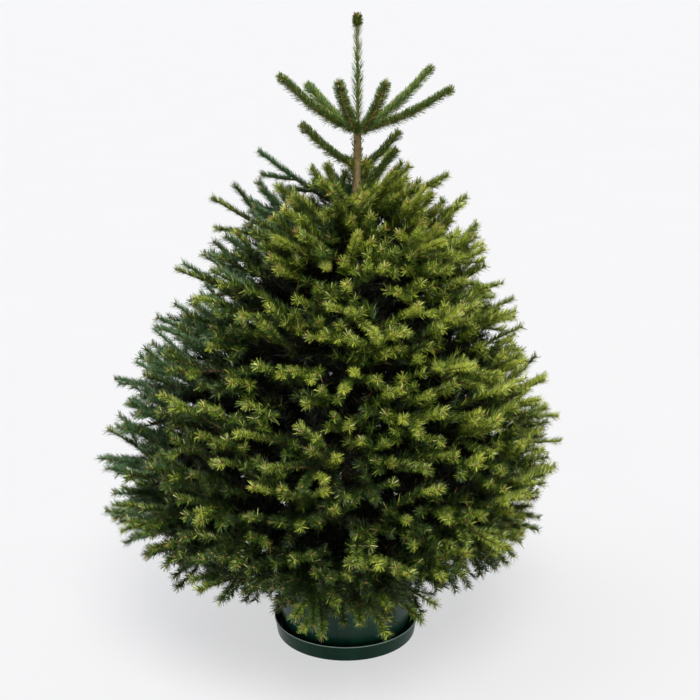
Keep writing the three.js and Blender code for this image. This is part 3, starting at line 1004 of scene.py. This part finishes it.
# Needles of the painted highlight are a little wider.
wide = np.where(group == GROUPS.index("glint"), 1.9, wide)


def needle_mesh(chosen, outline, faces):
    outline = np.array(outline)
    along, sidewise, lifted = (
        outline[:, i][None, :, None] * (direction * extent[:, None])[chosen][:, None]
        for i, (direction, extent) in enumerate(((heading, size), (side, wide), (face, wide)))
    )
    vertices = base[chosen][:, None] + along + sidewise + lifted
    faces = np.arange(len(chosen))[:, None, None] * len(outline) + np.array(faces)
    return vertices.reshape(-1, 3), faces.reshape(-1, faces.shape[-1])


shape = np.ones(total, int)
shape[top | ((order >= OUTER) & (order < HANGING) & (to_tip < 10))] = 2
shape[order < LEADER] = 4
needle_pieces = []
for number, name in enumerate(GROUPS):
    members = np.flatnonzero(group == number)
    lot = (np.cumsum(shape[members]) - 1) // MOST_TRIANGLES
    for share in np.unique(lot):
        within = members[lot == share]
        points, face_sets = joined(
            needle_mesh(within[shape[within] == triangles], *SHAPES[triangles]) for triangles in SHAPES
        )
        piece = make_piece(f"needles_{name}_{share + 1}", points, face_sets, needle_materials[name])
        needle_pieces.append(piece)

# ---- twigs and buds

top_rows = np.flatnonzero(orders == TOP)[: len(TOP_SHOOTS)]
leader_row = np.flatnonzero(orders == LEADER)


def twig_tubes(rows, keep_points, sides):
    picked = lines[rows][:, keep_points]
    shares = np.array(keep_points) / PATH_STEPS
    thickness = radii[rows, 0][:, None] * (1 - shares) + radii[rows, 1][:, None] * shares
    return tubes(picked, thickness, sides)


twigs = make_piece("twigs", *joined([
    twig_tubes(np.flatnonzero(orders == TWIG), [0, 2, 4, 6, 8], 5),
    twig_tubes(np.flatnonzero(orders > TWIG), [0, 4, 8], 3),
]), twig_bark, smooth=True)
stem_rows = np.concatenate([top_rows, leader_row])
top_stems = make_piece(
    "top_stems", *joined([twig_tubes(stem_rows, range(PATH_STEPS + 1), 9)]), shoot_bark, smooth=True
)

BUD_RINGS = ((0.0, 0.6), (0.5, 1.0))
BUD_SIDES = 4


def bud_mesh(centres, directions, lengths_, widths):
    across_ = unit(np.cross(directions, np.array((0.3, 0.5, 0.81))))
    over_ = np.cross(across_, directions)
    around = circle(across_, over_, BUD_SIDES)
    rings = []
    for share, girth in BUD_RINGS:
        ring = centres[:, None] + directions[:, None] * (lengths_ * share)[:, None, None]
        rings.append(ring + around * (widths * girth)[:, None, None])
    tip = (centres + directions * lengths_[:, None])[:, None]
    vertices = np.concatenate([*rings, tip], axis=1)
    last = (len(BUD_RINGS) - 1) * BUD_SIDES
    point = last + BUD_SIDES
    tips = np.array([(last + j, last + (j + 1) % BUD_SIDES, point) for j in range(BUD_SIDES)])
    quads = grid_faces(len(BUD_RINGS), BUD_SIDES)
    offsets = np.arange(len(centres))[:, None, None] * (point + 1)
    return vertices, [(offsets + quads).reshape(-1, 4), (offsets + tips).reshape(-1, 3)]


bud_rows = np.concatenate([np.flatnonzero(np.isin(orders, (OUTER, OUTERMOST, STEM, LEADER))), top_rows])
bud_orders = orders[bud_rows]
ends = lines[bud_rows, -1]
end_directions = unit(ends - lines[bud_rows, -2])
strong = np.isin(bud_orders, (LEADER, TOP, STEM)) | ((bud_orders == OUTERMOST) & (lengths[bud_rows] > 85))
bud_growth = np.select([bud_orders == LEADER, bud_orders == TOP], [2, 1.45], 1)
bud_sizes = np.where(strong, 6.2, 4.6) * bud_growth
bud_widths = np.where(strong, 2.4, 1.7) * bud_growth
bud_parts = [(ends, end_directions, bud_sizes, bud_widths)]
strong_ends, strong_directions = ends[strong], end_directions[strong]
for spin in SIDES:
    wobble = rng.normal(0, 0.35, (strong.sum(), 3))
    outward = unit(np.cross(strong_directions, np.array(UP)) * spin + wobble)
    bud_parts.append((
        strong_ends - strong_directions * 1.5, unit(strong_directions * 0.8 + outward * 0.7),
        bud_sizes[strong] * 0.85, bud_widths[strong] * 0.9,
    ))
buds = make_piece("buds", *bud_mesh(*map(np.concatenate, zip(*bud_parts))), bud_scales, smooth=True)

# ---- trunk and boughs, with bark relief

TRUNK_SIDES = 28
TRUNK_STEP = 4.5
TRUNK_NODES = [whorl["height"] for whorl in WHORLS] + [TOP_WHORL, 1157, 1108]


def relief(point, along_share=0.3):
    """Bark relief from -1 to 1: ridges that run along the limb, and small bumps."""
    stretched = Vector((point.x, point.y, point.z * along_share))
    ridges = noise.noise(stretched * 0.16)
    bumps = noise.noise(point * 0.42)
    return 0.65 * ridges + 0.35 * bumps


def trunk_mesh():
    heights = np.arange(FOOT, TREE_TOP - 2, TRUNK_STEP)
    points = []
    for z in heights:
        centre = trunk_centre(z)
        swell = sum(0.16 * math.exp(-((z - h) / 9) ** 2) for h in TRUNK_NODES)
        radius = trunk_radius(z) * (1 + swell)
        for j in range(TRUNK_SIDES):
            turn = 2 * math.pi * j / TRUNK_SIDES
            outward = facing(turn)
            bump = relief(Vector((centre.x, 0, z)) + outward * radius)
            points.append(centre + outward * radius * (1 + 0.1 * bump))
    points.append(trunk_centre(heights[-1] + 3))
    rings = len(heights)
    last = (rings - 1) * TRUNK_SIDES
    cap = [(last + j, last + (j + 1) % TRUNK_SIDES, rings * TRUNK_SIDES) for j in range(TRUNK_SIDES)]
    return [tuple(p) for p in points], [grid_faces(rings, TRUNK_SIDES), cap, underside(TRUNK_SIDES)]


trunk = make_piece("trunk_bark_relief", *trunk_mesh(), trunk_bark, smooth=True)

BOUGH_SIDES = 10
BOUGH_RINGS = 34


def bough_meshes():
    parts = []
    for line, level in bough_lines:
        shares = np.linspace(0, 0.97, BOUGH_RINGS)
        points = np.array([tuple(line(s)) for s in shares])[None]
        thick = mix(3.4, 9.0, level / (len(WHORLS) - 1))
        thickness = (thick * (1 - shares) ** 0.8 + 1.3)[None]
        thickness[0, :3] *= (1.3, 1.15, 1.05)
        vertices, faces = tubes(points, thickness, BOUGH_SIDES)
        centres = np.repeat(points[0], BOUGH_SIDES, axis=0)
        bumps = np.array([relief(Vector(v), 1) for v in vertices])
        vertices = centres + (vertices - centres) * (1 + 0.14 * bumps)[:, None]
        parts.append((vertices, faces))
    return joined(parts)


boughs = make_piece("boughs_bark_relief", *bough_meshes(), bough_bark, smooth=True)

# ---- pot, saucer and soil

SEAMS = [math.radians(a) for a in (-90 - 47, -90 + 47, 90 - 47, 90 + 47)]
SEAM_WIDTH = math.radians(0.8)


def turned_piece(name, profile, material, seams=()):
    """A turned shell from rows of radius, height and share of the upright mould seams cut into the wall."""
    turns = list(np.linspace(-math.pi, math.pi, 144, endpoint=False))
    for seam in seams:
        turns = [t for t in turns if abs(math.remainder(t - seam, 2 * math.pi)) > 2.4 * SEAM_WIDTH]
        turns += [seam + step * SEAM_WIDTH for step in (-2, -1, -0.5, 0, 0.5, 1, 2)]
    turns = np.array(sorted(turns))
    depth_at = np.zeros(len(turns))
    for seam in seams:
        gap = np.abs((turns - seam + math.pi) % (2 * math.pi) - math.pi) / SEAM_WIDTH
        depth_at += np.where(gap < 0.75, -1.6, 0) + np.where((gap > 0.75) & (gap < 1.5), 0.5, 0)
    profile = np.array(profile, float)
    radius = profile[:, 0][:, None] + profile[:, 2][:, None] * depth_at[None]
    heights = np.broadcast_to(profile[:, 1][:, None], radius.shape)
    points = np.stack([radius * np.cos(turns), radius * np.sin(turns), heights], axis=-1)
    count = len(turns)
    faces = [grid_faces(len(profile), count), underside(count), disc(count, (len(profile) - 1) * count)]
    return make_piece(name, points, faces, material, smooth=True)


def rounded(profile, radius, steps=4):
    """The same line with its inner corners rounded, where there is room."""
    points = [np.array(p[:2], float) for p in profile]
    seams = [p[2] if len(p) > 2 else 0 for p in profile]
    made = [(*points[0], seams[0])]
    for i in range(1, len(points) - 1):
        before, here, after = points[i - 1], points[i], points[i + 1]
        cut = min(radius, np.linalg.norm(here - before) * 0.45, np.linalg.norm(after - here) * 0.45)
        first = here + (before - here) / np.linalg.norm(before - here) * cut
        second = here + (after - here) / np.linalg.norm(after - here) * cut
        for k in range(steps + 1):
            t = k / steps
            spot_ = first * (1 - t) ** 2 + here * 2 * t * (1 - t) + second * t * t
            made.append((*spot_, seams[i]))
    made.append((*points[-1], seams[-1]))
    return made


radius, floor_radius, height, floor_top, wall, rim = SAUCER.values()
saucer = turned_piece("saucer_moulded", rounded([
    (20, 0.2),
    (floor_radius - 12, 0.2),
    (floor_radius - 10, 0),
    (floor_radius, 0),
    (radius - 1.5, height - rim),
    (radius, height - rim),
    (radius, height),
    (radius - wall, height),
    (floor_radius - wall, floor_top),
    (20, floor_top),
], 1.4), saucer_plastic)

base_radius, top_radius, height, wall, floor_top, lip, lip_height = POT.values()
pot_top = POT_FOOT + height
lip_low = pot_top - lip_height
pot = turned_piece("pot_moulded", rounded([
    (20, POT_FOOT + 1.2),
    (base_radius - 8, POT_FOOT + 1.2),
    (base_radius - 7, POT_FOOT),
    (base_radius, POT_FOOT, 1),
    (mix(base_radius, top_radius, 0.5), mix(POT_FOOT, lip_low, 0.5), 1),
    (top_radius, lip_low, 1),
    (top_radius + lip, lip_low),
    (top_radius + lip, pot_top),
    (top_radius - wall, pot_top),
    (base_radius - wall, POT_FOOT + floor_top),
    (20, POT_FOOT + floor_top),
], 2.2), pot_plastic, SEAMS)
SOIL_RINGS, SOIL_SIDES = 46, 120


def soil_mesh():
    """Crumbly soil inside the pot's rim, a little heaped round the trunk."""
    inner = mix(POT["base_radius"], POT["top_radius"], (SOIL_TOP - POT_FOOT) / POT["height"]) - POT["wall"] - 1
    points = []
    for k in range(SOIL_RINGS):
        radius = inner * (k + 0.3) / (SOIL_RINGS - 0.7)
        for j in range(SOIL_SIDES):
            turn = 2 * math.pi * j / SOIL_SIDES
            x, y = radius * math.cos(turn), radius * math.sin(turn)
            lumps = noise.fractal(Vector((x, y, 0)) * 0.07, 0.8, 2.1, 4)
            heap = 4 * math.exp(-radius / 40)
            points.append((x, y, SOIL_TOP - 5 + heap + 3.2 * lumps))
    return points, [grid_faces(SOIL_RINGS, SOIL_SIDES), underside(SOIL_SIDES)]


soil = make_piece("soil_surface", *soil_mesh(), soil_mix)


def chips_mesh(count):
    """Bark chips scattered on the soil."""
    corners = np.array([(x, y, z) for x in (-1, 1) for y in (-1, 1) for z in (-1, 1)], float)
    box_faces = np.array([(0, 1, 3, 2), (4, 6, 7, 5), (0, 4, 5, 1), (2, 3, 7, 6), (0, 2, 6, 4), (1, 5, 7, 3)])
    points = []
    for _ in range(count):
        radius = 158 * math.sqrt(between(0.03, 1))
        turn = between(0, 2 * math.pi)
        spot_ = Vector((radius * math.cos(turn), radius * math.sin(turn), SOIL_TOP - 1.5))
        half = (between(3, 8), between(2, 4.5), between(0.8, 1.8))
        turned = Matrix.Rotation(between(0, 6.3), 3, "Z")
        spin = turned @ Matrix.Rotation(between(-0.5, 0.5), 3, "X")
        for corner in corners:
            rough = Vector([c * h * between(0.7, 1.1) for c, h in zip(corner, half)])
            points.append(tuple(spot_ + spin @ rough))
    faces = np.arange(count)[:, None, None] * len(corners) + box_faces
    return points, [faces.reshape(-1, 4)]


chips = make_piece("soil_chips", *chips_mesh(420), chip_bark)

# ---- what rides, and what it replaces

nodes = sorted(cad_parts)
for piece in [*needle_pieces, twigs, top_stems, buds, trunk, boughs, chips, soil, pot, saucer]:
    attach(piece, "root")
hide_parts(*[n for n in nodes if n.startswith(("foliage_", "shoot_")) or n == "leader_needles"])
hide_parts("trunk")
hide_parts(*[n for n in nodes if n.startswith("bough_")])
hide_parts("soil")
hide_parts("pot")
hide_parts("saucer")

# ---- floor, light and background

floor_material, floor_shader = new_material("floor", srgb(132, 132, 134), 0.7, 0.1)
place = object_place(floor_material)
mottle = noise_texture(floor_material, place, 3, 3)
connect(floor_material, floor_shader, {
    "Emission Color": (1, 1, 1.01, 1), "Emission Strength": 0.6,
    "Base Color": ramp(floor_material, mottle, [(0.3, srgb(131, 131, 133)), (0.7, srgb(133, 133, 135))]),
})
FLOOR_SIDES, FLOOR_RADIUS, FLOOR_HEIGHT = 96, 120_000, -0.2
turns = np.linspace(0, 2 * math.pi, FLOOR_SIDES, endpoint=False)
floor_points = np.stack(
    [np.cos(turns) * FLOOR_RADIUS, np.sin(turns) * FLOOR_RADIUS, np.full(FLOOR_SIDES, FLOOR_HEIGHT)], axis=1
)
floor = make_piece("floor", floor_points, [disc(FLOOR_SIDES)], floor_material)

world = bpy.data.worlds.new("studio")
bpy.context.scene.world = world
world.use_nodes = True
world.node_tree.nodes.clear()
direction = node(world, "ShaderNodeTexCoord").outputs["Generated"]
split = node(world, "ShaderNodeSeparateXYZ", {"Vector": direction})
sky = ramp(world, split.outputs["Z"], [(0.06, (0.96, 0.96, 0.97, 1)), (0.3, (0.33, 0.34, 0.36, 1))])
backdrop = node(world, "ShaderNodeBackground", {"Color": sky, "Strength": 1.0})
node(world, "ShaderNodeOutputWorld", {"Surface": backdrop.outputs["Background"]})


def sun(name, direction_, strength, angle, colour):
    lamp = bpy.data.lights.new(name, "SUN")
    lamp.energy = strength
    lamp.angle = math.radians(angle)
    lamp.color = colour
    made = add_object(name, lamp)
    made.rotation_mode = "QUATERNION"
    made.rotation_quaternion = Vector(direction_).to_track_quat("Z", "Y")


sun("key", (0.1, -0.6, 1), 2.9, 32, (1, 0.98, 0.93))
sun("top", (-0.5, -0.1, 1), 1.0, 40, (0.95, 0.97, 1))

bpy.context.scene.view_settings.view_transform = "Standard"
